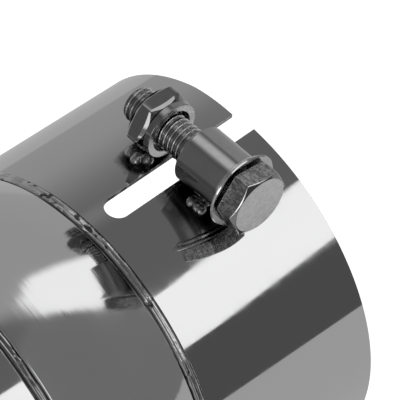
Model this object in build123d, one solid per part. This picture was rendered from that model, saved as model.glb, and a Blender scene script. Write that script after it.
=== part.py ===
"""Clamp-on exhaust tip: a slotted inlet sleeve, a domed shoulder and a round body with a rolled lip.

Millimetres. The origin is the centre of the inlet mouth. X runs along the gas path towards the
outlet, +Z points up through the slot, and the clamp bolt lies above the slot, along Y, with its
head at +Y.
"""

import math
import os

from build123d import *

# Inlet sleeve: a thin tube that slides over the tail pipe
SLEEVE_OD = 65.0
SLEEVE_WALL = 0.7
SLEEVE_LENGTH = 32.0

# Slot sawn from the mouth, so that the clamp bolt can close the sleeve
SLOT_WIDTH = 4.2
SLOT_LENGTH = 28.7
SLOT_OFFSET = 1.43
SLOT_LEAN = 1.55

# The mouth drops back a little beside the slot, on the nut's side
MOUTH_EASE_DEPTH = 0.55
MOUTH_EASE_WIDTH = 9.0

# Butt welds, dressed nearly flush
SEAM_WIDTH = 1.7
SEAM_CROWN = 0.15

# Domed shoulder between sleeve and body
SHOULDER_LENGTH = 25.2
SHOULDER_WALL = 0.7
SHOULDER_START = 26.5

# Body tube and its rolled outlet lip
BODY_OD = 80.0
BODY_WALL = 0.7
BODY_LENGTH = 112.0
LIP_RADIUS = 3.0
LIP_RETURN = 3.0

# Clamp bolt and nut, M6 with 10 mm flats
BOLT_X = 13.4
THREAD_OD = 5.9
THREAD_CLEARANCE = 0.05
BOLT_LENGTH = 24.0
BOLT_POINT = 0.6
HEX_FLATS = 10.0
HEX_FACE = 9.5
HEX_CHAMFER_ANGLE = 30.0
HEAD_HEIGHT = 3.3
HEAD_TURN = 5.6
HEAD_SEAT_OD = 9.0
HEAD_SEAT_HEIGHT = 0.4
NUT_HEIGHT = 3.3
NUT_SEAT_GAP = 0.03
NUT_COUNTERSINK = 0.4

# Washers under the head
FLAT_WASHER_OD = 12.5
FLAT_WASHER_THICKNESS = 0.5
SPRING_WASHER_OD = 11.0
SPRING_WASHER_THICKNESS = 0.65
SPRING_WASHER_SPLIT = 0.6
SPRING_WASHER_SPLIT_AT = 22.0
SPRING_WASHER_SLANT = 20.0
WASHER_BORE_CLEARANCE = 0.25

# Bush on the head side and short ring on the nut side, both welded to the sleeve
BUSH_OD = 9.6
BUSH_BORE_CLEARANCE = 0.4
BUSH_LENGTH = 8.6
BUSH_SETBACK = 1.2
BUSH_EDGE = 0.2
RING_BORE_CLEARANCE = 0.65
RING_LENGTH = 1.15
RING_SETBACK = 0.45

# Weld beads that hold them
BEAD_RADIUS = 1.35
BEAD_SPREAD = 3.5
BEAD_RISE = 0.55
BUSH_BEAD_SETBACK = 2.2
BUSH_BEAD_LENGTH = 3.5
BEAD_INSET = 0.2
WELD_CLEARANCE = 0.01

# Places worked out from the sizes above
SLEEVE_R = SLEEVE_OD / 2
BODY_R = BODY_OD / 2
SHOULDER_X = SLEEVE_LENGTH + SEAM_WIDTH
BODY_SEAM_X = SHOULDER_X + SHOULDER_LENGTH
BODY_X = BODY_SEAM_X + SEAM_WIDTH
OUTLET_X = BODY_X + BODY_LENGTH
BUSH_START = SLOT_OFFSET + SLOT_WIDTH / 2 + BUSH_SETBACK
BUSH_END = BUSH_START + BUSH_LENGTH
SPRING_WASHER_END = BUSH_END + SPRING_WASHER_THICKNESS
SEAT_START = SPRING_WASHER_END + FLAT_WASHER_THICKNESS
HEAD_BACK = SEAT_START + HEAD_SEAT_HEIGHT
RING_FRONT = SLOT_OFFSET - SLOT_WIDTH / 2 - RING_SETBACK
NUT_FRONT = RING_FRONT - RING_LENGTH
NUT_BACK = NUT_FRONT - NUT_HEIGHT
THREAD_R = THREAD_OD / 2
NUT_SEAT_Z = math.sqrt(SLEEVE_R**2 - NUT_FRONT**2)
BOLT_Z = NUT_SEAT_Z + NUT_SEAT_GAP + HEX_FLATS / 2

# Spare length for cutters, so that they pass right through
OVERRUN = 5.0


def along_y(start, length, shape):
    """Extrude a sketch along Y from a start, centred on the bolt axis."""
    plane = Plane(origin=(BOLT_X, start, BOLT_Z), x_dir=(1, 0, 0), z_dir=(0, 1, 0))
    return extrude(plane * shape, amount=length)


def bolt_cylinder(start, length, radius):
    """Make a round bar on the bolt axis."""
    return along_y(start, length, Circle(radius))


def bolt_tube(start, length, outer_radius, inner_radius):
    """Make a tube on the bolt axis."""
    return along_y(start, length, Circle(outer_radius) - Circle(inner_radius))


def sleeve_bar(radius):
    """Make the solid round bar that fills the sleeve, used to trim what sits on it."""
    start = Plane(origin=(-OVERRUN, 0, 0), z_dir=(1, 0, 0))
    return extrude(start * Circle(radius), amount=SLEEVE_LENGTH + 2 * OVERRUN)


def revolved(profile):
    """Turn a closed profile, drawn in the XZ plane with Z as the radius, round the X axis."""
    return revolve(profile, axis=Axis.X)


def slot_cutter():
    """Cut the slot: parallel sides, a full-round inner end and a slight lean off the axis."""
    end_x = SLOT_LENGTH - SLOT_WIDTH / 2
    lean = math.tan(math.radians(SLOT_LEAN))
    run = end_x + OVERRUN
    middle = (end_x - OVERRUN) / 2
    outline = Rectangle(run, SLOT_WIDTH) + Pos(run / 2, 0) * Circle(SLOT_WIDTH / 2)
    place = Pos(middle, SLOT_OFFSET + (middle - BOLT_X) * lean, 0) * Rot(0, 0, SLOT_LEAN)
    return extrude(place * outline, amount=SLEEVE_R + OVERRUN)


def mouth_ease():
    """Cut a thin wedge off the mouth, deepest at the slot's edge."""
    slot_y = SLOT_OFFSET - BOLT_X * math.tan(math.radians(SLOT_LEAN))
    edge_y = slot_y - SLOT_WIDTH / 2
    outline = [(-OVERRUN, edge_y - MOUTH_EASE_WIDTH), (0, edge_y - MOUTH_EASE_WIDTH)]
    outline += [(MOUTH_EASE_DEPTH, edge_y), (MOUTH_EASE_DEPTH, slot_y), (-OVERRUN, slot_y)]
    return extrude(make_face(Polyline(outline, close=True)), amount=SLEEVE_R + OVERRUN)


def inlet_sleeve():
    """The slotted tube that takes the tail pipe."""
    start = Plane(origin=(0, 0, 0), z_dir=(1, 0, 0))
    tube = extrude(start * (Circle(SLEEVE_R) - Circle(SLEEVE_R - SLEEVE_WALL)), amount=SLEEVE_LENGTH)
    return tube - slot_cutter() - mouth_ease()


def seam_ring(start_x, radius, wall):
    """A butt weld between two tube ends: a ring with a low crown outside and inside."""
    end_x = start_x + SEAM_WIDTH
    middle_x = (start_x + end_x) / 2
    inner = radius - wall
    outline = [
        ThreePointArc((start_x, 0, radius), (middle_x, 0, radius + SEAM_CROWN), (end_x, 0, radius)),
        Line((end_x, 0, radius), (end_x, 0, inner)),
        ThreePointArc((end_x, 0, inner), (middle_x, 0, inner - SEAM_CROWN), (start_x, 0, inner)),
        Line((start_x, 0, inner), (start_x, 0, radius)),
    ]
    return revolved(make_face(outline))


def shoulder():
    """The domed reducer: one arc that leaves the sleeve steeply and runs out along the body."""
    start = Vector(SHOULDER_X, 0, SLEEVE_R)
    end = Vector(BODY_SEAM_X, 0, BODY_R)
    slope = math.radians(SHOULDER_START)
    tangent = Vector(math.cos(slope), 0, math.sin(slope))
    outer = TangentArc(start, end, tangent=tangent)
    inner_start = Vector(SHOULDER_X, 0, SLEEVE_R - SLEEVE_WALL)
    inner_end = Vector(BODY_SEAM_X, 0, BODY_R - SHOULDER_WALL)
    inner = TangentArc(inner_start, inner_end, tangent=tangent)
    return revolved(make_face([outer, Line(end, inner_end), inner, Line(inner_start, start)]))


def outer_body():
    """The body tube, with its outlet edge rolled inwards through half a turn."""
    roll_x = OUTLET_X - LIP_RADIUS
    roll_r = BODY_R - LIP_RADIUS
    bend = LIP_RADIUS - BODY_WALL
    leg_x = roll_x - LIP_RETURN
    outline = [
        Line((BODY_X, 0, BODY_R), (roll_x, 0, BODY_R)),
        ThreePointArc((roll_x, 0, BODY_R), (OUTLET_X, 0, roll_r), (roll_x, 0, roll_r - LIP_RADIUS)),
        Line((roll_x, 0, roll_r - LIP_RADIUS), (leg_x, 0, roll_r - LIP_RADIUS)),
        Line((leg_x, 0, roll_r - LIP_RADIUS), (leg_x, 0, roll_r - bend)),
        Line((leg_x, 0, roll_r - bend), (roll_x, 0, roll_r - bend)),
        ThreePointArc((roll_x, 0, roll_r - bend), (roll_x + bend, 0, roll_r), (roll_x, 0, roll_r + bend)),
        Line((roll_x, 0, roll_r + bend), (BODY_X, 0, BODY_R - BODY_WALL)),
        Line((BODY_X, 0, BODY_R - BODY_WALL), (BODY_X, 0, BODY_R)),
    ]
    return revolved(make_face(outline))


def hexagon(turn):
    """A hexagon across the stated flats, turned about its centre."""
    return Rot(0, 0, turn) * RegularPolygon(HEX_FLATS / 2, 6, major_radius=False)


def chamfer_blank(start, length, both_ends):
    """A round blank whose chamfered ends leave the hexagon its rounded corners."""
    corner = HEX_FLATS / math.sqrt(3)
    width = corner - HEX_FACE / 2
    depth = width * math.tan(math.radians(HEX_CHAMFER_ANGLE))
    end = start + length
    outline = [(start, 0), (end, 0), (end, HEX_FACE / 2), (end - depth, corner)]
    outline += [(start + depth, corner), (start, HEX_FACE / 2)] if both_ends else [(start, corner)]
    profile = make_face(Polyline([(BOLT_X + r, y, BOLT_Z) for y, r in outline], close=True))
    return revolve(profile, axis=Axis((BOLT_X, 0, BOLT_Z), (0, 1, 0)))


def clamp_bolt():
    """Hexagon head bolt with a round seat under its head; the thread is left at its outer diameter."""
    head = along_y(HEAD_BACK, HEAD_HEIGHT, hexagon(-HEAD_TURN))
    head = head & chamfer_blank(HEAD_BACK, HEAD_HEIGHT, both_ends=False)
    seat = bolt_cylinder(SEAT_START, HEAD_SEAT_HEIGHT, HEAD_SEAT_OD / 2)
    shank = bolt_cylinder(HEAD_BACK - BOLT_LENGTH, BOLT_LENGTH, THREAD_R)
    tip = shank.edges().filter_by(GeomType.CIRCLE).sort_by(Axis.Y)[0]
    return head + seat + chamfer(tip, BOLT_POINT)


def clamp_nut():
    """Thin hexagon nut, chamfered on both faces and countersunk at both ends of its hole."""
    blank = along_y(NUT_BACK, NUT_HEIGHT, hexagon(0.0))
    blank = blank & chamfer_blank(NUT_BACK, NUT_HEIGHT, both_ends=True)
    hole = bolt_cylinder(NUT_BACK - OVERRUN, NUT_HEIGHT + 2 * OVERRUN, THREAD_R + THREAD_CLEARANCE)
    nut = blank - hole
    rims = nut.edges().filter_by(GeomType.CIRCLE).filter_by(lambda e: e.radius < HEX_FACE / 4 + THREAD_R / 2)
    return chamfer(rims, NUT_COUNTERSINK)


def flat_washer():
    """Plain washer against the bolt head."""
    bore = THREAD_R + WASHER_BORE_CLEARANCE
    return bolt_tube(SPRING_WASHER_END, FLAT_WASHER_THICKNESS, FLAT_WASHER_OD / 2, bore)


def spring_washer():
    """Split lock washer, squeezed flat, with a slanted cut through one side."""
    bore = THREAD_R + WASHER_BORE_CLEARANCE
    middle = BUSH_END + SPRING_WASHER_THICKNESS / 2
    washer = bolt_tube(BUSH_END, SPRING_WASHER_THICKNESS, SPRING_WASHER_OD / 2, bore)
    reach = SPRING_WASHER_OD / 2
    split = Box(reach, 2 * OVERRUN, SPRING_WASHER_SPLIT)
    split = Rot(SPRING_WASHER_SLANT, 0, 0) * split
    split = Rot(0, -SPRING_WASHER_SPLIT_AT, 0) * Pos(reach / 2 + THREAD_R / 2, 0, 0) * split
    return washer - Pos(BOLT_X, middle, BOLT_Z) * split


def head_side_bush():
    """Plain tube between the slot and the bolt head, its outer edges broken."""
    bush = bolt_tube(BUSH_START, BUSH_LENGTH, BUSH_OD / 2, THREAD_R + BUSH_BORE_CLEARANCE)
    rims = bush.edges().filter_by(GeomType.CIRCLE).filter_by(lambda e: e.radius > BUSH_OD / 2 - BUSH_EDGE)
    return chamfer(rims, BUSH_EDGE)


def nut_side_ring():
    """Short slice of the same tube on the other side of the slot, in front of the nut."""
    return bolt_tube(NUT_FRONT, RING_LENGTH, BUSH_OD / 2, THREAD_R + RING_BORE_CLEARANCE)


def bead(x, start_y, end_y):
    """A round-ended weld bead that lies on the sleeve beside the bolt axis."""
    radius = BEAD_RADIUS
    low, high = sorted((start_y, end_y))
    ends = [(y, math.sqrt(SLEEVE_R**2 - y**2) + BEAD_RISE) for y in (low + radius, high - radius)]
    start, end = (Vector(x, y, z) for y, z in ends)
    path = end - start
    bar = extrude(Plane(origin=start, z_dir=path) * Circle(radius), amount=path.length)
    return bar + Pos(start) * Sphere(radius) + Pos(end) * Sphere(radius)


def saddle(start_y, end_y):
    """Filler metal under a piece on the bolt axis, before it is trimmed to its neighbours."""
    low, high = sorted((start_y, end_y))
    length = high - low
    height = BUSH_OD / 2
    block = Box(2 * BEAD_SPREAD, length, height)
    return Pos(BOLT_X, low + length / 2, BOLT_Z - BUSH_OD / 2 - height / 2 + BEAD_RISE) * block


def bush_weld():
    """Two beads and the filler between them, trimmed to the sleeve and to the bush."""
    start = BUSH_START + BUSH_BEAD_SETBACK
    end = start + BUSH_BEAD_LENGTH
    weld = saddle(start + BEAD_RADIUS / 2, end - BEAD_RADIUS)
    for side in (-1, 1):
        weld += bead(BOLT_X + side * BEAD_SPREAD, start, end)
    weld -= bolt_cylinder(BUSH_START - OVERRUN, 4 * OVERRUN, BUSH_OD / 2 + WELD_CLEARANCE)
    return weld - sleeve_bar(SLEEVE_R + WELD_CLEARANCE)


def nut_weld():
    """Beads on both sides of the nut and its ring, joined by filler under the nut."""
    start, end = RING_FRONT - BEAD_INSET, NUT_BACK + BEAD_INSET
    weld = saddle(NUT_FRONT - NUT_HEIGHT / 2, end)
    for side in (-1, 1):
        weld += bead(BOLT_X + side * BEAD_SPREAD, start, end)
    weld -= along_y(NUT_BACK - OVERRUN, NUT_HEIGHT + OVERRUN, offset(hexagon(0.0), WELD_CLEARANCE))
    weld -= bolt_cylinder(NUT_FRONT, OVERRUN, BUSH_OD / 2 + WELD_CLEARANCE)
    return weld - sleeve_bar(SLEEVE_R + WELD_CLEARANCE)


def main():
    os.makedirs("parts", exist_ok=True)
    parts = {
        "inlet_sleeve": inlet_sleeve(),
        "sleeve_seam_weld": seam_ring(SLEEVE_LENGTH, SLEEVE_R, SLEEVE_WALL),
        "shoulder": shoulder(),
        "body_seam_weld": seam_ring(BODY_SEAM_X, BODY_R, SHOULDER_WALL),
        "outer_body": outer_body(),
        "head_side_bush": head_side_bush(),
        "bush_weld": bush_weld(),
        "nut_side_ring": nut_side_ring(),
        "nut_weld": nut_weld(),
        "clamp_nut": clamp_nut(),
        "spring_washer": spring_washer(),
        "flat_washer": flat_washer(),
        "clamp_bolt": clamp_bolt(),
    }
    for name, solid in parts.items():
        solid.label = name
        export_step(solid, os.path.join("parts", f"{name}.step"))


main()
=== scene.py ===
"""Looks of the clamp-on exhaust tip: mirror-polished tubes, dressed welds, drawn bushes and a bolt."""
import math

import bmesh
import bpy
import numpy as np
from mathutils import Euler, Matrix, Vector, noise


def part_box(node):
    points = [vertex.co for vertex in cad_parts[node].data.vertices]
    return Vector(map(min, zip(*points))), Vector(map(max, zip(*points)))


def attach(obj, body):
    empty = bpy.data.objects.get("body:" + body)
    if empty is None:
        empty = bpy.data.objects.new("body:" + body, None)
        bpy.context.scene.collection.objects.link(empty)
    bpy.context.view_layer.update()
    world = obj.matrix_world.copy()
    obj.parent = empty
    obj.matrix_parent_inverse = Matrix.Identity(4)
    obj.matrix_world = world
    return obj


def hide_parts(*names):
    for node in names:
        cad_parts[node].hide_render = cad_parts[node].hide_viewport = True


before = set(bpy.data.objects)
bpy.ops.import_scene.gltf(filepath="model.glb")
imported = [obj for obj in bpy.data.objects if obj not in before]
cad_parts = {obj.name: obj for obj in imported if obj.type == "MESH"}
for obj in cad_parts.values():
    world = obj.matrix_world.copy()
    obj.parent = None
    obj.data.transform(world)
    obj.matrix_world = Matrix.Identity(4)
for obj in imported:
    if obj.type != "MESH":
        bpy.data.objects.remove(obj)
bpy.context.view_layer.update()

MM = 0.001
TAU = 2 * math.pi

# Camera, solved from the photograph's ellipses and hexagon corners
CAMERA_PLACE = (0.31380, 0.29147, 0.48572)
CAMERA_RIGHT = (-0.73304, 0.67768, 0.05837)
CAMERA_UP = (-0.47530, -0.57172, 0.66875)
CAMERA_LENS = 369.25
CAMERA_SENSOR = 36.0

# Finish of the edges: rounded on sheet and tube, broken by a narrow flat on nut, head and washers
SHEET_EDGE = 0.10 * MM
TURNED_EDGE = 0.14 * MM
FACET_TILT = 37.0
NUT_FACET = 0.42 * MM
NUT_FACE_R = 4.52 * MM
HEAD_FACET = 0.11 * MM
WASHER_FACET = 0.13 * MM

# Radius at which the sheet's texture is unrolled, between the sleeve's and the body's
UNROLL_R = 36 * MM

# How far the edge of a dark mark wanders
MARK_RAGGED = 0.4 * MM

# Clamp bolt, its thread and the bores round it
HEAD_TURN = 5.6
NUT_TURN = -1.4
THREAD_R = 2.95 * MM
NUT_HOLE_R = 3.0 * MM
BUSH_BORE_R = 3.35 * MM
RING_BORE_R = 3.6 * MM
WASHER_BORE_R = 3.2 * MM
THREAD_PITCH = 0.92 * MM
THREAD_DEPTH = 0.36 * MM
THREAD_SHIFT = 0.55 * MM


def low(node):
    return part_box(node)[0]


def high(node):
    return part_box(node)[1]


# Sizes read from the frame, and the sheet's thickness
SLEEVE_R = high("inlet_sleeve").z
SLEEVE_END = high("inlet_sleeve").x
SHEET = 0.7 * MM
SHOULDER_START = low("shoulder").x
SHOULDER_END = high("shoulder").x
BODY_R = high("outer_body").z
BODY_START = low("outer_body").x
OUTLET = high("outer_body").x
BOLT_X = (low("clamp_nut").x + high("clamp_nut").x) / 2
BOLT_Z = (low("clamp_nut").z + high("clamp_nut").z) / 2
BUSH_R = (high("head_side_bush").x - low("head_side_bush").x) / 2


# Small maths

def smooth(a, b, x):
    """Ease from 0 at a to 1 at b."""
    t = min(1.0, max(0.0, (x - a) / (b - a)))
    return t * t * (3 - 2 * t)


def direction(azimuth, elevation):
    """Unit vector at an azimuth from +X towards +Y and an elevation, in degrees."""
    a, e = math.radians(azimuth), math.radians(elevation)
    return Vector((math.cos(a) * math.cos(e), math.sin(a) * math.cos(e), math.sin(e)))


def rough_noise(x, y, z, scale, octaves=3):
    """Signed fractal noise, about -1 to 1, of a place in metres."""
    return noise.fractal(Vector((x, y, z)) * scale, 1.0, 2.0, octaves)


# Node helpers

class Shader:
    """Short names for building a node tree."""

    def __init__(self, tree):
        self.tree = tree
        tree.nodes.clear()

    def node(self, kind, **settings):
        made = self.tree.nodes.new(kind)
        for key, value in settings.items():
            setattr(made, key, value)
        return made

    def plug(self, socket, value):
        if isinstance(value, bpy.types.NodeSocket):
            self.tree.links.new(value, socket)
        else:
            socket.default_value = value

    def maths(self, operation, *values):
        made = self.node("ShaderNodeMath", operation=operation)
        for socket, value in zip(made.inputs, values):
            self.plug(socket, value)
        return made.outputs[0]

    def ease(self, value, a, b, out_a=0.0, out_b=1.0):
        """Map a value smoothly from the range a to b."""
        made = self.node("ShaderNodeMapRange", interpolation_type="SMOOTHSTEP")
        for socket, item in zip(made.inputs, (value, a, b, out_a, out_b)):
            self.plug(socket, item)
        return made.outputs[0]

    def blend(self, factor, a, b):
        """Mix two numbers."""
        made = self.node("ShaderNodeMix", data_type="FLOAT")
        for name, item in (("Factor", factor), ("A", a), ("B", b)):
            self.plug(made.inputs[name], item)
        return made.outputs["Result"]

    def mix(self, factor, a, b):
        """Mix two shaders."""
        made = self.node("ShaderNodeMixShader")
        for socket, item in zip(made.inputs, (factor, a, b)):
            self.plug(socket, item)
        return made.outputs[0]

    def noise(self, where, scale, detail=3.0, roughness=0.55):
        made = self.node("ShaderNodeTexNoise")
        self.plug(made.inputs["Vector"], where)
        made.inputs["Scale"].default_value = scale
        made.inputs["Detail"].default_value = detail
        made.inputs["Roughness"].default_value = roughness
        return made.outputs["Fac"]

    def place(self, stretch=(1.0, 1.0, 1.0)):
        """Object coordinates, stretched along each axis."""
        coords = self.node("ShaderNodeTexCoord")
        made = self.node("ShaderNodeMapping")
        self.plug(made.inputs["Vector"], coords.outputs["Object"])
        made.inputs["Scale"].default_value = stretch
        return made.outputs[0]

    def axes(self, source="Object"):
        """X, Y and Z of the place, in metres."""
        coords = self.node("ShaderNodeTexCoord")
        split = self.node("ShaderNodeSeparateXYZ")
        self.plug(split.inputs[0], coords.outputs[source])
        return tuple(split.outputs)

    def around_x(self):
        """Coordinates unrolled round the X axis: length and arc, in metres."""
        x, y, z = self.axes()
        angle = self.maths("ARCTAN2", y, z)
        joined = self.node("ShaderNodeCombineXYZ")
        self.plug(joined.inputs[0], x)
        self.plug(joined.inputs[1], self.maths("MULTIPLY", angle, UNROLL_R))
        return joined.outputs[0]

    def scaled(self, vector, stretch):
        made = self.node("ShaderNodeMapping")
        self.plug(made.inputs["Vector"], vector)
        made.inputs["Scale"].default_value = stretch
        return made.outputs[0]

    def off_bolt(self):
        """Distance from the bolt's axis, in metres."""
        x, y, z = self.axes()
        return self.length(self.maths("SUBTRACT", x, BOLT_X), self.maths("SUBTRACT", z, BOLT_Z))

    def length(self, a, b):
        """Length of the vector with the parts a and b."""
        squares = [self.maths("MULTIPLY", item, item) for item in (a, b)]
        return self.maths("SQRT", self.maths("ADD", *squares))

    def bump(self, height, strength, distance):
        made = self.node("ShaderNodeBump")
        made.inputs["Strength"].default_value = strength
        made.inputs["Distance"].default_value = distance
        self.plug(made.inputs["Height"], height)
        return made.outputs[0]

    def shade(self, value, dark, light):
        """Mix of two colours, each a triple or another socket."""
        made = self.node("ShaderNodeMix", data_type="RGBA")
        self.plug(made.inputs["Factor"], value)
        for name, item in (("A", dark), ("B", light)):
            self.plug(made.inputs[name], item if isinstance(item, bpy.types.NodeSocket) else (*item, 1.0))
        return made.outputs["Result"]

    def metal(self, colour, roughness, normal=None):
        """Close the tree with a metal surface."""
        surface = self.node("ShaderNodeBsdfPrincipled")
        surface.inputs["Metallic"].default_value = 1.0
        self.plug(surface.inputs["Base Color"], colour)
        self.plug(surface.inputs["Roughness"], roughness)
        if normal is not None:
            self.plug(surface.inputs["Normal"], normal)
        out = self.node("ShaderNodeOutputMaterial")
        self.tree.links.new(surface.outputs[0], out.inputs[0])


def new_material(name):
    material = bpy.data.materials.new(name)
    material.use_nodes = True
    return material, Shader(material.node_tree)


# Materials

def polished_steel(name, marks, line_depth):
    """Mirror-polished stainless sheet, with faint polishing lines round the tube.

    marks are dark marks, some of smoke and some painted shade: place in x and y, stretch along y, core and
    outer radius. line_depth is the strength of the polishing lines."""
    material, s = new_material(name)
    unrolled = s.around_x()
    lines = s.noise(s.scaled(unrolled, (260.0, 14.0, 1.0)), 1.0, 4.0, 0.6)
    haze = s.noise(s.scaled(unrolled, (30.0, 60.0, 1.0)), 1.0, 3.0, 0.5)
    colour = s.shade(haze, (0.585, 0.585, 0.59), (0.615, 0.615, 0.62))
    x, y, z = s.axes()
    mark_edge_noise = s.noise(s.place(), 330.0, 3.0, 0.6)
    # Each mark paints the colour near black: the smoke marks are stains, the others are painted shade over a
    # reflection.
    for mark_x, mark_y, stretch, core, reach in marks:
        across = s.maths("SUBTRACT", x, mark_x)
        along = s.maths("DIVIDE", s.maths("SUBTRACT", y, mark_y), stretch)
        ragged = s.ease(mark_edge_noise, 0.3, 0.7, -MARK_RAGGED, MARK_RAGGED)
        away = s.maths("ADD", s.length(across, along), ragged)
        colour = s.shade(s.ease(away, core, reach), (0.045, 0.045, 0.046), colour)
    roughness = s.ease(lines, 0.3, 0.75, 0.035, 0.075)
    s.metal(colour, roughness, s.bump(lines, line_depth, 0.0002))
    return material


def brushed_shoulder():
    """The shoulder's polish, a little less even than the tubes'."""
    material, s = new_material("shoulder_steel_look")
    unrolled = s.around_x()
    lines = s.noise(s.scaled(unrolled, (520.0, 40.0, 1.0)), 1.0, 4.0, 0.6)
    patches = s.noise(s.scaled(unrolled, (55.0, 75.0, 1.0)), 1.0, 3.0, 0.5)
    colour = s.shade(patches, (0.56, 0.56, 0.565), (0.62, 0.62, 0.625))
    roughness = s.ease(patches, 0.3, 0.7, 0.05, 0.13)
    s.metal(colour, roughness, s.bump(lines, 0.08, 0.0002))
    return material


def cut_steel():
    """The slot's sawn wall: duller than the skin, with saw lines, lighter near the mouth as painted light and
    darker away from it as painted shade.
    """
    material, s = new_material("cut_edge_look")
    lines = s.noise(s.place((900.0, 500.0, 240.0)), 1.0, 3.0, 0.6)
    # Painted light: the colour is lifted within a few millimetres of the mouth.
    painted_light_near_mouth = s.ease(s.axes()[0], 0.005, 0.008, 0.55, 0.0)
    level = s.maths("ADD", s.ease(lines, 0.4, 0.66, 0.0, 0.45), painted_light_near_mouth)
    colour = s.shade(level, (0.05, 0.05, 0.052), (0.60, 0.60, 0.605))
    s.metal(colour, 0.34, s.bump(lines, 0.3, 0.0001))
    return material


def weld_steel(name, radius, dark, light):
    """Dressed and polished weld metal, dark in its grooves and pits below the tube's radius."""
    material, s = new_material(name)
    where = s.place()
    grain = s.noise(where, 2600.0, 4.0, 0.65)
    patches = s.noise(where, 420.0, 3.0, 0.55)
    x, y, z = s.axes()
    height = s.maths("SUBTRACT", s.length(y, z), radius)
    proud = s.ease(height, -0.04 * MM, 0.04 * MM)
    level = s.maths("MULTIPLY", proud, s.ease(patches, 0.35, 0.65, 0.72, 1.0))
    colour = s.shade(level, (dark, dark, dark * 1.01), (light, light, light * 1.01))
    roughness = s.ease(patches, 0.3, 0.7, 0.20, 0.08)
    s.metal(colour, roughness, s.bump(grain, 0.16, 0.0001))
    return material


def bead_steel():
    """Raw weld beads, shiny but uneven, with dark heat marks."""
    material, s = new_material("bead_look")
    where = s.place()
    grain = s.noise(where, 1900.0, 4.0, 0.6)
    soot = s.noise(where, 520.0, 3.0, 0.6)
    colour = s.shade(s.ease(soot, 0.36, 0.66), (0.05, 0.05, 0.052), (0.46, 0.46, 0.465))
    roughness = s.ease(soot, 0.35, 0.65, 0.40, 0.18)
    s.metal(colour, roughness, s.bump(grain, 0.45, 0.00015))
    return material


def turned_steel():
    """Satin drawn tube: a fine grain along its axis."""
    material, s = new_material("turned_steel_look")
    grain = s.noise(s.place((5200.0, 260.0, 5200.0)), 1.0, 3.0, 0.6)
    mottle = s.noise(s.place((900.0, 700.0, 900.0)), 1.0, 3.0, 0.5)
    colour = s.shade(mottle, (0.35, 0.35, 0.353), (0.43, 0.43, 0.434))
    roughness = s.ease(grain, 0.3, 0.7, 0.09, 0.14)
    s.metal(colour, roughness, s.bump(grain, 0.08, 0.00005))
    return material


def bolt_steel():
    """The bolt head's face and broken edge, and the ring's ends: satin, with small dents."""
    material, s = new_material("bolt_look")
    where = s.place()
    dents = s.noise(where, 1500.0, 4.0, 0.65)
    colour = s.shade(s.ease(dents, 0.35, 0.65), (0.62, 0.62, 0.625), (0.76, 0.76, 0.765))
    roughness = s.ease(dents, 0.3, 0.7, 0.20, 0.30)
    s.metal(colour, roughness, s.bump(dents, 0.30, 0.0001))
    return material


def sheared_steel():
    """The head's flats, trimmed by a die: dark, torn in fine lines along the bolt, with bright grains."""
    material, s = new_material("sheared_look")
    torn = s.noise(s.place((3000.0, 800.0, 3000.0)), 1.0, 4.0, 0.65)
    grains = s.noise(s.place(), 2400.0, 4.0, 0.7)
    mixed = s.maths("ADD", s.maths("MULTIPLY", torn, 0.6), s.maths("MULTIPLY", grains, 0.4))
    colour = s.shade(s.ease(mixed, 0.40, 0.62), (0.20, 0.20, 0.205), (0.56, 0.56, 0.565))
    roughness = s.ease(grains, 0.3, 0.7, 0.16, 0.28)
    s.metal(colour, roughness, s.bump(mixed, 0.8, 0.00012))
    return material


def thread_steel():
    """Rolled thread: crests painted bright as a painted highlight over roots painted dark as painted shade.
    """
    material, s = new_material("thread_look")
    # Lighter towards the crests by distance from the bolt's axis: painted highlight on the crests, painted
    # shade in the roots.
    painted_crest_light = s.ease(s.off_bolt(), THREAD_R - 0.29 * MM, THREAD_R - 0.05 * MM)
    patches = s.noise(s.place(), 1200.0, 3.0, 0.55)
    colour = s.shade(s.maths("MULTIPLY", painted_crest_light, s.ease(patches, 0.3, 0.6, 0.75, 1.0)),
                     (0.24, 0.24, 0.243), (0.80, 0.80, 0.805))
    s.metal(colour, s.ease(patches, 0.3, 0.7, 0.14, 0.24))
    return material


def nut_steel():
    """Smooth dark plating of the nut and the head's chamfer; on the tube of its ring the same dark colour is
    painted shade.
    """
    material, s = new_material("nut_look")
    dents = s.noise(s.place(), 900.0, 3.0, 0.55)
    colour = s.shade(dents, (0.25, 0.25, 0.253), (0.33, 0.33, 0.334))
    s.metal(colour, s.ease(dents, 0.3, 0.7, 0.04, 0.07))
    return material


def washer_steel():
    """Bright plated washers."""
    material, s = new_material("washer_look")
    dents = s.noise(s.place(), 1400.0, 3.0, 0.55)
    colour = s.shade(dents, (0.50, 0.50, 0.505), (0.66, 0.66, 0.665))
    roughness = s.ease(dents, 0.3, 0.7, 0.09, 0.16)
    s.metal(colour, roughness, s.bump(dents, 0.15, 0.0001))
    return material


# Mesh helpers

def set_normals(mesh):
    """Give each vertex the normal of the large faces round it, so that flats stay flat beside bevels."""
    count = len(mesh.vertices)
    loops = np.empty(len(mesh.loops), int)
    mesh.loops.foreach_get("vertex_index", loops)
    totals = np.empty(len(mesh.polygons), int)
    mesh.polygons.foreach_get("loop_total", totals)
    face_normals = np.empty(3 * len(mesh.polygons))
    mesh.polygons.foreach_get("normal", face_normals)
    areas = np.empty(len(mesh.polygons))
    mesh.polygons.foreach_get("area", areas)
    owner = np.repeat(np.arange(len(mesh.polygons)), totals)
    weights = (face_normals.reshape(-1, 3) * (areas[:, None] / areas.max()) ** 2)[owner]
    normals = np.zeros((count, 3))
    np.add.at(normals, loops, weights)
    lengths = np.linalg.norm(normals, axis=1)
    lengths[lengths == 0] = 1
    mesh.normals_split_custom_set_from_vertices((normals / lengths[:, None]).tolist())


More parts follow.
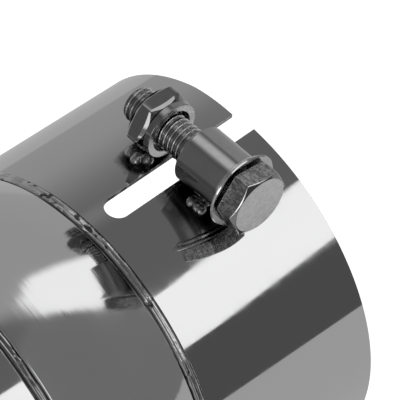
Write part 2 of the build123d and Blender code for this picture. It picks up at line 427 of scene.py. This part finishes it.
def finish_piece(bm, name, material, nodes):
    """Turn a bmesh into a shown piece that stands for some CAD nodes."""
    bmesh.ops.remove_doubles(bm, verts=bm.verts, dist=1e-7)
    bmesh.ops.recalc_face_normals(bm, faces=bm.faces)
    mesh = bpy.data.meshes.new(name)
    bm.to_mesh(mesh)
    bm.free()
    mesh.shade_smooth()
    set_normals(mesh)
    for look in material if isinstance(material, (list, tuple)) else [material]:
        mesh.materials.append(look)
    piece = bpy.data.objects.new(name, mesh)
    bpy.context.collection.objects.link(piece)
    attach(piece, "root")
    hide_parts(*nodes)


def grid_faces(rows, columns, wrap_rows, wrap_columns):
    """Quads of a grid of vertices numbered row by row."""
    faces = []
    for i in range(rows if wrap_rows else rows - 1):
        for j in range(columns if wrap_columns else columns - 1):
            a = i * columns + j
            b = i * columns + (j + 1) % columns
            c = ((i + 1) % rows) * columns + (j + 1) % columns
            d = ((i + 1) % rows) * columns + j
            faces.append((a, b, c, d))
    return faces


def grid_mesh(points, rows, columns, wrap_rows=False, wrap_columns=False):
    """Make a bmesh from a grid of points."""
    bm = bmesh.new()
    verts = [bm.verts.new(p) for p in points]
    for face in grid_faces(rows, columns, wrap_rows, wrap_columns):
        corners = [verts[k] for k in face]
        if len(set(corners)) == 4:
            bm.faces.new(corners)
    return bm


def corner_arc(centre, radius, start, end, steps=3):
    """Points of an arc in a profile, angles in degrees from the first profile axis."""
    out = []
    for k in range(steps + 1):
        a = math.radians(start + (end - start) * k / steps)
        out.append((centre[0] + radius * math.cos(a), centre[1] + radius * math.sin(a)))
    return out


def spread(points, step):
    """Add points along a closed profile so that none of its sides is longer than a step."""
    out = []
    for a, b in zip(points, points[1:] + points[:1]):
        length = math.dist(a, b)
        parts = max(1, math.ceil(length / step))
        out += [(a[0] + (b[0] - a[0]) * k / parts, a[1] + (b[1] - a[1]) * k / parts) for k in range(parts)]
    return out


def around_x_axis(profile, steps, shift=None):
    """Turn a closed profile of (x, radius) round the X axis. A shift moves each point's radius."""
    points = []
    for x, r in profile:
        for j in range(steps):
            a = TAU * j / steps
            y, z = math.sin(a), math.cos(a)
            extra = shift(x, a, r) if shift else 0.0
            points.append((x, (r + extra) * y, (r + extra) * z))
    return grid_mesh(points, len(profile), steps, wrap_rows=True, wrap_columns=True)


def around_bolt(profile, steps):
    """Turn a closed profile of (y, radius) round the bolt's axis."""
    points = []
    for y, r in profile:
        for j in range(steps):
            a = TAU * j / steps
            points.append((BOLT_X + r * math.cos(a), y, BOLT_Z + r * math.sin(a)))
    return grid_mesh(points, len(profile), steps, wrap_rows=True, wrap_columns=True)


def ring_profile(start, end, inner, outer, edge):
    """Section of a plain ring with rounded edges."""
    out = []
    for centre, angle in (
        ((end - edge, outer - edge), 0), ((start + edge, outer - edge), 90),
        ((start + edge, inner + edge), 180), ((end - edge, inner + edge), 270),
    ):
        out += corner_arc(centre, edge, angle, angle + 90)
    return out


def facet(a, b):
    """Ends of a narrow flat, with a support point close to each so that it shades flat."""
    return [tuple(p + (q - p) * t for p, q in zip(a, b)) for t in (0.0, 0.08, 0.92, 1.0)]


def broken_ring(start, end, inner, outer, edge):
    """Section of a ring whose outer edges are broken by a narrow steep flat."""
    fall = edge / math.tan(math.radians(FACET_TILT))
    out = facet((end, outer - edge), (end - fall, outer))
    out += facet((start + fall, outer), (start, outer - edge))
    out += corner_arc((start + edge, inner + edge), edge, 180, 270)
    out += corner_arc((end - edge, inner + edge), edge, 270, 360)
    return out


# The sleeve: a sheet with a slot, its edges slightly rounded

SLOT_HALF = 2.1 * MM
SLOT_FAR = 28.7 * MM
SLOT_OFFSET = 1.43 * MM
SLOT_LEAN = math.tan(math.radians(1.55))
EASE_DEPTH = 0.55 * MM
EASE_WIDTH = 9.0 * MM

# Dark marks: two of smoke round the tacks, then two of painted shade that darken the clamp's mirror image
# beside the bright band
SMOKE_AND_SHADE_MARKS = (
    (17.4 * MM, -3.2 * MM, 1.0, 2.6 * MM, 4.2 * MM),
    (16.6 * MM, 8.0 * MM, 1.25, 2.6 * MM, 5.6 * MM),
    (16.6 * MM, 11.8 * MM, 1.0, 0.6 * MM, 3.4 * MM),
    (19.0 * MM, 12.6 * MM, 0.7, -4.0 * MM, 4.0 * MM),
)


def slot_middle(x):
    """Y of the slot's centre line."""
    return SLOT_OFFSET + (x - BOLT_X) * SLOT_LEAN


def slot_half_width(x):
    """Half of the slot's width at x, which closes in a half circle."""
    centre = SLOT_FAR - SLOT_HALF
    if x <= centre:
        return SLOT_HALF
    return math.sqrt(max(0.0, SLOT_HALF ** 2 - (x - centre) ** 2))


def eased(x, y, z):
    """X of a point of the sleeve, moved back where the mouth drops back beside the slot."""
    edge = slot_middle(0.0) - SLOT_HALF
    back = EASE_DEPTH * (1 - min(1.0, max(0.0, edge - y) / EASE_WIDTH))
    if z < 0 or y > edge + SLOT_HALF:
        back = 0.0
    return x + back * max(0.0, 1 - x / (6 * MM))


def sleeve():
    """Outer and inner skins on one grid that parts at the slot and closes behind it."""
    rows = [k / 48 * (SLOT_FAR - SLOT_HALF) for k in range(49)]
    rows += [SLOT_FAR - SLOT_HALF + SLOT_HALF * math.sin(math.pi / 2 * k / 14) for k in range(1, 15)]
    rows += [SLOT_FAR + (SLEEVE_END - SLOT_FAR) * k / 16 for k in range(1, 17)]
    columns = 420
    bm = bmesh.new()
    skins = []
    for radius in (SLEEVE_R, SLEEVE_R - SHEET):
        skin = []
        for x in rows:
            half = slot_half_width(x)
            middle = slot_middle(min(x, SLOT_FAR))
            first = math.asin((middle + half) / radius)
            last = math.asin((middle - half) / radius) + TAU
            line = []
            for j in range(columns + 1):
                a = first + (last - first) * j / columns
                y, z = radius * math.sin(a), radius * math.cos(a)
                line.append(bm.verts.new((eased(x, y, z), y, z)))
            skin.append(line)
        for upper, lower in zip(skin, skin[1:]):
            for j in range(columns):
                bm.faces.new((upper[j], upper[j + 1], lower[j + 1], lower[j]))
        skins.append(skin)
    outer, inner = skins
    for i in (0, len(rows) - 1):
        for j in range(columns):
            bm.faces.new((outer[i][j], outer[i][j + 1], inner[i][j + 1], inner[i][j]))
    slot_rows = sum(x <= SLOT_FAR for x in rows)
    for j in (0, columns):
        for i in range(slot_rows - 1):
            wall = bm.faces.new((outer[i][j], outer[i + 1][j], inner[i + 1][j], inner[i][j]))
            wall.material_index = 1
    bmesh.ops.remove_doubles(bm, verts=bm.verts, dist=1e-7)
    bmesh.ops.recalc_face_normals(bm, faces=bm.faces)
    sharp = [e for e in bm.edges if len(e.link_faces) == 2 and e.calc_face_angle() > math.radians(50)]
    bmesh.ops.bevel(bm, geom=sharp, offset=SHEET_EDGE, segments=3, profile=0.5, affect="EDGES",
                    clamp_overlap=True)
    looks = [MAT["sleeve"], MAT["cut"]]
    finish_piece(bm, "sleeve_skin", looks, ["inlet_sleeve"])


# Shoulder and body: turned profiles

SHOULDER_ANGLE = math.radians(26.5)


def shoulder_line(x):
    """Radius of the shoulder at x: an arc that leaves the sleeve at the angle the frame shows."""
    rise = BODY_R - SLEEVE_R
    run = SHOULDER_END - SHOULDER_START
    chord = math.hypot(rise, run)
    turn = SHOULDER_ANGLE - math.atan2(rise, run)
    radius = chord / (2 * math.sin(turn))
    centre_x = SHOULDER_START + radius * math.sin(SHOULDER_ANGLE)
    centre_r = SLEEVE_R - radius * math.cos(SHOULDER_ANGLE)
    return centre_r + math.sqrt(radius ** 2 - (x - centre_x) ** 2)


def shoulder():
    """The dome, very slightly uneven as a hand-polished one is, most of all near the sleeve's weld."""
    steps = 60
    xs = [SHOULDER_START + (SHOULDER_END - SHOULDER_START) * k / steps for k in range(steps + 1)]
    profile = [(x, shoulder_line(x)) for x in xs]
    inner = [(x, max(shoulder_line(x) - SHEET, SLEEVE_R - SHEET)) for x in xs[::-3]]
    profile += inner

    def wave(x, a, r):
        near = 1 - smooth(0, 14 * MM, x - SHOULDER_START)
        swell = rough_noise(x, r * math.sin(a), r * math.cos(a), 150.0, 2)
        return (0.010 + 0.016 * near) * MM * swell

    bm = around_x_axis(profile, 480, wave)
    finish_piece(bm, "shoulder_skin", MAT["shoulder"], ["shoulder"])


def body():
    """Straight tube with its outlet rolled inwards."""
    lip = 3.0 * MM
    bend = lip - SHEET
    roll = OUTLET - lip
    line = BODY_R - lip
    edge = SHEET_EDGE
    leg = roll - 3.0 * MM
    profile = [(BODY_START, BODY_R - SHEET), (BODY_START, BODY_R)]
    profile += [(BODY_START + 0.3 * MM, BODY_R), (roll, BODY_R)]
    profile += corner_arc((roll, line), lip, 90, -90, 28)[1:]
    profile += [(leg + edge, line - lip), (leg, line - lip + edge), (leg, line - bend - edge)]
    profile += [(leg + edge, line - bend)]
    profile += corner_arc((roll, line), bend, -90, 90, 20)
    profile = spread(profile, 6 * MM)
    bm = around_x_axis(profile, 480)
    finish_piece(bm, "body_skin", MAT["polished"], ["outer_body"])


# Dressed butt welds

def seam(name, node, look, start, end, radius, seed, wear):
    """A low crown between two thin grooves, rippled. wear is the depth of the pits that the dressing left."""
    steps = 30
    columns = 900
    outer = []
    for k in range(steps + 1):
        t = k / steps
        groove = -0.07 * (math.exp(-(t / 0.07) ** 2) + math.exp(-((1 - t) / 0.07) ** 2))
        ridge = 0.10 * math.exp(-((t - 0.30) / 0.13) ** 2) + 0.12 * math.exp(-((t - 0.72) / 0.12) ** 2)
        outer.append((start + (end - start) * t, radius + (groove + ridge - 0.01) * MM))
    inner = [(end, radius - SHEET), ((start + end) / 2, radius - SHEET - 0.12 * MM), (start, radius - SHEET)]

    def rough(x, a, r):
        if r < radius - SHEET / 2:
            return 0.0
        y, z = r * math.sin(a), r * math.cos(a)
        t = (x - start) / (end - start)
        inside = smooth(0, 0.12, t) * smooth(0, 0.12, 1 - t)
        fine = rough_noise(x + seed, y, z, 900.0, 3)
        ripple = rough_noise(x * 0.3 + seed, y, z, 420.0, 2)
        pit = max(0.0, rough_noise(x + 2 * seed, y, z, 620.0, 2) - 0.34)
        dressed_away = 0.7 * smooth(-2 * MM, 14 * MM, -y) * (r - radius - 0.05 * MM)
        return inside * (0.022 * fine + 0.030 * ripple - wear * pit) * MM - dressed_away

    bm = around_x_axis(outer + inner, columns, rough)
    finish_piece(bm, name, MAT[look], [node])


# Bushes, washers and their edges

SPLIT_AT = 22.0
SPLIT_HALF = 0.3 * MM
SPLIT_SLANT = 20.0


def bush():
    lo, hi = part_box("head_side_bush")
    profile = ring_profile(lo.y, hi.y, BUSH_BORE_R, BUSH_R, TURNED_EDGE)
    bm = around_bolt(spread(profile, 1.0 * MM), 144)
    finish_piece(bm, "bush_tube", MAT["turned"], ["head_side_bush"])


def nut_ring():
    lo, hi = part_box("nut_side_ring")
    profile = ring_profile(lo.y, hi.y, RING_BORE_R, BUSH_R, TURNED_EDGE)
    bm = around_bolt(spread(profile, 0.5 * MM), 144)
    bm.normal_update()
    # Ends take the light bolt look, the outside the dark nut look: the outside's darkness is painted shade.
    for f in bm.faces:
        f.material_index = 1 if abs(f.normal.y) > 0.9 else 0
    finish_piece(bm, "ring_tube", [MAT["nut"], MAT["bolt"]], ["nut_side_ring"])


def flat_washer():
    lo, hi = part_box("flat_washer")
    outer = (hi.x - lo.x) / 2
    profile = broken_ring(lo.y, hi.y, WASHER_BORE_R, outer, WASHER_FACET)
    middle = (lo.y + hi.y) / 2
    groove = [(middle + 0.06 * MM, outer), (middle, outer - 0.09 * MM), (middle - 0.06 * MM, outer)]
    profile[4:4] = groove
    bm = around_bolt(spread(profile, 0.6 * MM), 160)
    finish_piece(bm, "washer_flat", MAT["washer"], ["flat_washer"])


def spring_washer():
    """Split ring whose ends lean past each other."""
    lo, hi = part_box("spring_washer")
    outer = (hi.x - lo.x) / 2
    section = spread(broken_ring(lo.y, hi.y, WASHER_BORE_R, outer, WASHER_FACET), 0.6 * MM)
    steps = 150
    split_at = math.radians(SPLIT_AT)
    gap = SPLIT_HALF / outer
    middle = (lo.y + hi.y) / 2
    points = []
    for j in range(steps + 1):
        for y, r in section:
            lean = math.tan(math.radians(SPLIT_SLANT)) * (y - middle) / outer
            a = split_at + gap + lean + (TAU - 2 * gap) * j / steps
            points.append((BOLT_X + r * math.cos(a), y, BOLT_Z + r * math.sin(a)))
    bm = grid_mesh(points, steps + 1, len(section), wrap_columns=True)
    bm.verts.ensure_lookup_table()
    count = len(section)
    bm.faces.new([bm.verts[k] for k in range(count)])
    bm.faces.new([bm.verts[steps * count + k] for k in range(count - 1, -1, -1)])
    finish_piece(bm, "washer_spring", MAT["washer"], ["spring_washer"])


# Hexagons with chamfered corners

HEX_FLATS = 10.0 * MM
HEX_FACE_R = 4.75 * MM
HEX_SLOPE = math.tan(math.radians(30))
HEX_ROUND = 0.16 * MM
HEAD_SEAT = 0.4 * MM
HEAD_SEAT_R = 4.5 * MM


def hex_radius(a, turn):
    """Radius of a hexagon with softly rounded corners at an angle from +X towards +Z."""
    t = (a - math.radians(turn)) % (TAU / 6) - TAU / 12
    sharp = HEX_FLATS / 2 / math.cos(t)
    corner = HEX_FLATS / 2 / math.cos(TAU / 12)
    return sharp - HEX_ROUND * math.exp(-(corner - sharp) / HEX_ROUND * 1.6) * 0.45


def hex_angles(turn, per_side=26):
    """Angles round a hexagon, closer together at its corners."""
    out = []
    for side in range(6):
        for k in range(per_side):
            t = k / per_side
            eased = 0.5 - 0.5 * math.cos(math.pi * t)
            out.append(math.radians(turn) + TAU / 6 * (side + 0.35 * t + 0.65 * eased))
    return out


def hex_loop(y_face, inward, turn, depths, broken, face_r=HEX_FACE_R):
    """Rings of a chamfered hexagon end, from the face circle out and down to each depth on the sides.

    inward is +1 or -1: the way from the face into the hexagon, along Y. The edge between chamfer and
    flats is broken by a narrow flat that takes the stated width off the chamfer."""
    angles = hex_angles(turn)
    steepness = 1 / math.tan(math.radians(FACET_TILT)) - HEX_SLOPE
    rows = [[] for _ in range(7 + len(depths))]
    for a in angles:
        side = hex_radius(a, turn)
        towards_corner = (2 * side / HEX_FLATS - 1) / (1 / math.cos(math.pi / 6) - 1)
        cone = max(side - broken * (1 - 0.55 * towards_corner), face_r + 0.01 * MM)
        fall = (side - cone) * steepness
        near = (cone, (cone - face_r) * HEX_SLOPE)
        far = (side, (side - face_r) * HEX_SLOPE + fall)
        points = facet((face_r, 0.0), near)[:3] + facet(near, far)
        points += [(side, max(depth, far[1] + 0.02 * MM)) for depth in depths]
        for row, (r, depth) in zip(rows, points):
            row.append((a, r, y_face + inward * depth))
    return rows


def rings_to_points(rings):
    return [
        (BOLT_X + r * math.cos(a), y, BOLT_Z + r * math.sin(a))
        for ring in rings for a, r, y in ring
    ]


def flat_rings(radii, y, turn):
    return [[(a, r, y) for a in hex_angles(turn)] for r in radii]


# The thread

def thread_depth(y, a):
    """How far the thread's surface lies below its crest."""
    phase = ((y - THREAD_SHIFT) / THREAD_PITCH + a / TAU) % 1.0
    flank = abs(phase - 0.5) * 2
    return THREAD_DEPTH * smooth(0.04, 0.62, flank)


def bolt_thread_rings(start, end, radius, columns):
    """Rings of the threaded shank, which runs out in a point at its start."""
    steps = int((end - start) / THREAD_PITCH * 14)
    point = 0.62 * MM
    rings = []
    for k in range(steps + 1):
        y = start + (end - start) * k / steps
        ring = []
        for j in range(columns):
            a = TAU * j / columns
            cone = radius - max(0.0, point - (y - start)) * 0.75
            ring.append((a, min(cone, radius - thread_depth(y, a)), y))
        rings.append(ring)
    return rings


def bolt():
    """Head and thread in one piece. The head is a chamfered hexagon, turned as in the photo."""
    seat_lo = high("flat_washer").y
    head_lo = seat_lo + HEAD_SEAT
    head_hi = high("clamp_bolt").y
    turn = HEAD_TURN
    columns = len(hex_angles(turn))
    rings = bolt_thread_rings(low("clamp_bolt").y, seat_lo - 0.05 * MM, THREAD_R, columns)
    bm = grid_mesh(rings_to_points(rings), len(rings), columns, wrap_columns=True)
    bm.verts.ensure_lookup_table()
    bm.faces.new([bm.verts[k] for k in range(columns)])
    for f in bm.faces:
        f.material_index = 1

    height = head_hi - head_lo
    depths = [height * 0.35, height * 0.7, height - 0.12 * MM, height - 0.05 * MM]
    outside = hex_loop(head_hi, -1, turn, depths, HEAD_FACET)
    face = flat_rings([0.5 * MM, 2.0 * MM, 3.4 * MM, 4.4 * MM, 4.70 * MM], head_hi, turn)
    back = [[(a, r - 0.05 * MM, head_lo) for a, r, y in outside[-1]]]
    back += flat_rings([HEAD_SEAT_R], head_lo, turn) + flat_rings([HEAD_SEAT_R, THREAD_R], seat_lo, turn)
    rings = face + outside + back
    first_flat = len(face) + len(outside) - len(depths) - 1

    def dent(p):
        """Small dents of the cold-formed head."""
        if p[1] < head_hi - 0.01 * MM:
            return p
        return (p[0], p[1] + 0.02 * MM * rough_noise(*p, 500.0, 3), p[2])

    points = [dent(p) for p in rings_to_points(rings)]
    head = grid_mesh(points, len(rings), columns, wrap_columns=True)
    head.verts.ensure_lookup_table()
    for k, f in enumerate(head.faces):
        ring = k // columns
        chamfer = len(face) <= ring < len(face) + 3
        f.material_index = 2 if ring >= first_flat else 3 if chamfer else 0
    head.faces.new([head.verts[k] for k in range(columns)])
    head.verts.index_update()
    shift = len(bm.verts)
    for v in head.verts:
        bm.verts.new(v.co)
    bm.verts.ensure_lookup_table()
    for f in head.faces:
        made = bm.faces.new([bm.verts[shift + v.index] for v in f.verts])
        made.material_index = f.material_index
    head.free()
    looks = [MAT["bolt"], MAT["thread"], MAT["sheared"], MAT["nut"]]
    finish_piece(bm, "bolt_body", looks, ["clamp_bolt"])


def nut():
    """Thin nut, chamfered on both faces, with a countersunk threaded hole."""
    lo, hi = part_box("clamp_nut")
    turn = NUT_TURN
    height = hi.y - lo.y
    hole = NUT_HOLE_R
    sink = 0.35 * MM
    front = hex_loop(hi.y, -1, turn, [height * 0.42, height * 0.5], NUT_FACET, NUT_FACE_R)
    rear = hex_loop(lo.y, 1, turn, [height * 0.42], NUT_FACET, NUT_FACE_R)[::-1]
    front_face = flat_rings([hole + sink, 4.2 * MM, 4.72 * MM], hi.y, turn)
    rear_face = flat_rings([4.72 * MM, 4.2 * MM, hole + sink], lo.y, turn)
    steps = 24
    bore = []
    for k in range(steps + 1):
        y = lo.y + sink + (height - 2 * sink) * k / steps
        bore.append([(a, hole - 0.30 * MM * (1 - thread_depth(y, a) / THREAD_DEPTH) * 0.5, y)
                     for a in hex_angles(turn)])
    rings = front_face + front + rear + rear_face + bore
    columns = len(hex_angles(turn))
    bm = grid_mesh(rings_to_points(rings), len(rings), columns, wrap_rows=True, wrap_columns=True)
    finish_piece(bm, "nut_body", MAT["nut"], ["clamp_nut"])


# Weld beads

def blob_mesh(blobs, voxel, roughness):
    """Join overlapping balls into one lumpy skin. Each blob is (centre, size, turn)."""
    bm = bmesh.new()
    for centre, size, turn in blobs:
        made = bmesh.ops.create_icosphere(bm, subdivisions=3, radius=1.0)
        move = Matrix.Translation(centre) @ Euler(turn).to_matrix().to_4x4() @ Matrix.Diagonal((*size, 1.0))
        bmesh.ops.transform(bm, matrix=move, verts=made["verts"])
    mesh = bpy.data.meshes.new("beads_raw")
    bm.to_mesh(mesh)
    bm.free()
    raw = bpy.data.objects.new("beads_raw", mesh)
    bpy.context.collection.objects.link(raw)
    remesh = raw.modifiers.new("join", "REMESH")
    remesh.mode = "VOXEL"
    remesh.voxel_size = voxel
    soften = raw.modifiers.new("soften", "SMOOTH")
    soften.iterations = 2
    bpy.context.view_layer.update()
    graph = bpy.context.evaluated_depsgraph_get()
    joined = bpy.data.meshes.new_from_object(raw.evaluated_get(graph), depsgraph=graph)
    bpy.data.objects.remove(raw)
    bm = bmesh.new()
    bm.from_mesh(joined)
    bpy.data.meshes.remove(joined)
    bm.normal_update()
    for v in bm.verts:
        v.co += v.normal * roughness * rough_noise(*v.co, 620.0, 2)
    return bm


def sleeve_top(y):
    return math.sqrt(SLEEVE_R ** 2 - y ** 2)


def bush_beads():
    """A short tack on both sides of the bush, in overlapping blobs, and filler under it."""
    lo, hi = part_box("bush_weld")
    middle = (lo.y + hi.y) / 2
    blobs = []
    for side in (-1, 1):
        for k in range(4):
            y = lo.y + 0.8 * MM + k * 0.62 * MM
            x = BOLT_X + side * (3.45 + 0.22 * math.sin(3 * k + side)) * MM
            size = (1.02 + 0.14 * math.sin(5 * k + side)) * MM
            place = Vector((x, y, sleeve_top(y) + 0.32 * MM))
            blobs.append((place, (size, 0.66 * MM, 1.0 * MM), (0.35, 0, 0)))
    for k in (-1, 1):
        y = middle + k * 0.45 * MM
        blobs.append((Vector((BOLT_X, y, sleeve_top(y))), (3.3 * MM, 0.7 * MM, 0.9 * MM), (0, 0, 0)))
    bm = blob_mesh(blobs, 0.11 * MM, 0.07 * MM)
    finish_piece(bm, "bush_beads", MAT["bead"], ["bush_weld"])


# Y, distance from the bolt, height over the sleeve and half length of each blob beside the nut
NUT_BEADS = (
    (-4.9 * MM, 4.2 * MM, 0.7 * MM, 1.45 * MM),
    (-3.4 * MM, 4.5 * MM, 0.4 * MM, 1.60 * MM),
    (-2.1 * MM, 3.8 * MM, 0.5 * MM, 1.15 * MM),
)


def nut_beads():
    """Blobs beside and under the nut and its ring."""
    blobs = []
    for side in (-1, 1):
        for y, out, rise, size in NUT_BEADS:
            place = Vector((BOLT_X + side * out, y, sleeve_top(y) + rise))
            blobs.append((place, (size, 1.05 * MM, 1.25 * MM), (-0.1, 0, 0.3 * side)))
    bm = blob_mesh(blobs, 0.13 * MM, 0.09 * MM)
    finish_piece(bm, "nut_beads", MAT["bead"], ["nut_weld"])


# Studio

FLOOR_Z = low("outer_body").z

# Edges of the lit part of the floor, in metres
LIT_FROM = (-0.32, -0.29)
LIT_TO = (3.0, 0.44)

# Brightness of the lit part as the steel mirrors it
FLOOR_LEVEL = 0.52

# Patches of the room, placed where the bands on the steel in the photo say that it is light or dark:
# corners by azimuth and elevation, softness, brightness
PATCHES = {
    "left_wall": (((196, -12), (232, -12), (226, 42), (206, 52), (186, 54), (180, 40)), 0.16, 0.46),
    "far_wall": (((138, -12), (176, -12), (176, 44), (150, 52), (136, 30)), 0.06, 0.235),
    "dark_corner": (((80, -14), (140, -14), (133, 24), (120, 30), (80, 25)), 0.06, 0.105),
    "backdrop": (((175, 17), (196, 16), (196.5, 36), (187, 43), (178, 41), (176, 34)), 0.06, 1.38),
    "overhead": (((223, 53), (228, 66), (250, 78), (290, 75), (288, 57), (255, 50)), 0.30, 0.95),
    "dark_side": (((300, -5), (348, -5), (345, 44), (300, 48)), 0.16, 0.20),
    "front_panel": (((32, -2), (54, -2), (54, 15), (32, 15)), 0.04, 2.2),
    "key_softbox": (((146.3, 43.8), (121.8, 26.2), (75, 30), (95, 70), (136.4, 53.7)), 0.006, 1.40),
    "softbox_corner": (((153.2, 55.4), (141.3, 52.4), (136.4, 50.5), (136, 38), (150, 47.5)), 0.006, 1.40),
}


def studio_floor():
    """Large pale floor. The camera sees it near white; the steel mirrors its lit part as one even grey."""
    material, s = new_material("floor_look")
    x, y, z = s.axes()
    sweep = s.node("ShaderNodeEmission")
    sweep.inputs["Color"].default_value = (FLOOR_LEVEL, FLOOR_LEVEL, FLOOR_LEVEL, 1.0)
    lit = 1.0
    for place, start, end in zip((x, y), LIT_FROM, LIT_TO):
        after = s.maths("GREATER_THAN", place, start)
        before = s.maths("LESS_THAN", place, end)
        lit = s.maths("MULTIPLY", lit, s.maths("MULTIPLY", after, before))
    mirrored = s.mix(lit, s.node("ShaderNodeBsdfTransparent").outputs[0], sweep.outputs[0])
    paper = s.node("ShaderNodeBsdfDiffuse")
    paper.inputs["Color"].default_value = (0.8, 0.8, 0.8, 1.0)
    glow = s.node("ShaderNodeEmission")
    glow.inputs["Strength"].default_value = 0.86
    seen = s.node("ShaderNodeAddShader")
    s.plug(seen.inputs[0], paper.outputs[0])
    s.plug(seen.inputs[1], glow.outputs[0])
    path = s.node("ShaderNodeLightPath")
    out = s.node("ShaderNodeOutputMaterial")
    s.plug(out.inputs[0], s.mix(path.outputs["Is Camera Ray"], mirrored, seen.outputs[0]))
    mesh = bpy.data.meshes.new("floor")
    size = 4.0
    corners = [(-size, -size), (size, -size), (size, size), (-size, size)]
    mesh.from_pydata([(x, y, FLOOR_Z) for x, y in corners], [], [(0, 1, 2, 3)])
    mesh.materials.append(material)
    floor = bpy.data.objects.new("floor", mesh)
    bpy.context.collection.objects.link(floor)


def patch_mask(s, way, corners, soft):
    """1 inside a convex patch of the sky, 0 outside it: one half space for each side of its outline."""
    ways = [direction(*corner) for corner in corners]
    middle = sum(ways, Vector())
    mask = 1.0
    for a, b in zip(ways, ways[1:] + ways[:1]):
        inward = a.cross(b).normalized()
        if inward.dot(middle) < 0:
            inward = -inward
        made = s.node("ShaderNodeVectorMath", operation="DOT_PRODUCT")
        s.plug(made.inputs[0], way)
        made.inputs[1].default_value = inward
        mask = s.maths("MULTIPLY", mask, s.ease(made.outputs["Value"], -soft / 2, soft / 2))
    return mask


def studio_world():
    """A grey room with light and dark patches, two of them a crisp softbox. The camera sees it white."""
    world = bpy.data.worlds.new("studio")
    bpy.context.scene.world = world
    world.use_nodes = True
    s = Shader(world.node_tree)
    coords = s.node("ShaderNodeTexCoord")
    way = coords.outputs["Generated"]
    level = s.ease(s.axes("Generated")[2], 0.15, 0.9, 0.41, 0.165)
    for corners, soft, brightness in PATCHES.values():
        level = s.blend(patch_mask(s, way, corners, soft), level, brightness)
    path = s.node("ShaderNodeLightPath")
    background = s.node("ShaderNodeBackground")
    background.inputs["Color"].default_value = (1, 1, 1, 1)
    s.plug(background.inputs["Strength"], s.blend(path.outputs["Is Camera Ray"], level, 1.0))
    out = s.node("ShaderNodeOutputWorld")
    s.plug(out.inputs[0], background.outputs[0])


def camera():
    right, up = Vector(CAMERA_RIGHT), Vector(CAMERA_UP)
    back = right.cross(up)
    lens = bpy.data.cameras.new("photo_camera")
    lens.lens = CAMERA_LENS
    lens.sensor_width = CAMERA_SENSOR
    lens.clip_start = 0.01
    view = bpy.data.objects.new("photo_camera", lens)
    turn = Matrix((right, up, back)).transposed().to_4x4()
    view.matrix_world = Matrix.Translation(CAMERA_PLACE) @ turn
    bpy.context.collection.objects.link(view)
    bpy.context.scene.camera = view


# Putting it together

camera()
MAT = {
    "polished": polished_steel("polished_steel_look", (), 0.02),
    "sleeve": polished_steel("sleeve_steel_look", SMOKE_AND_SHADE_MARKS, 0.006),
    "shoulder": brushed_shoulder(),
    "cut": cut_steel(),
    "sleeve_weld": weld_steel("sleeve_weld_look", SLEEVE_R, 0.10, 0.62),
    "body_weld": weld_steel("body_weld_look", BODY_R, 0.05, 0.36),
    "bead": bead_steel(),
    "turned": turned_steel(),
    "bolt": bolt_steel(),
    "sheared": sheared_steel(),
    "thread": thread_steel(),
    "nut": nut_steel(),
    "washer": washer_steel(),
}
sleeve()
shoulder()
body()
seam("sleeve_seam", "sleeve_seam_weld", "sleeve_weld", SLEEVE_END, SHOULDER_START, SLEEVE_R, 0.3, 0.45)
seam("body_seam", "body_seam_weld", "body_weld", SHOULDER_END, BODY_START, BODY_R, 0.7, 0.12)
bush()
nut_ring()
flat_washer()
spring_washer()
bolt()
nut()
bush_beads()
nut_beads()
studio_floor()
studio_world()
bpy.context.scene.view_settings.view_transform = "Standard"
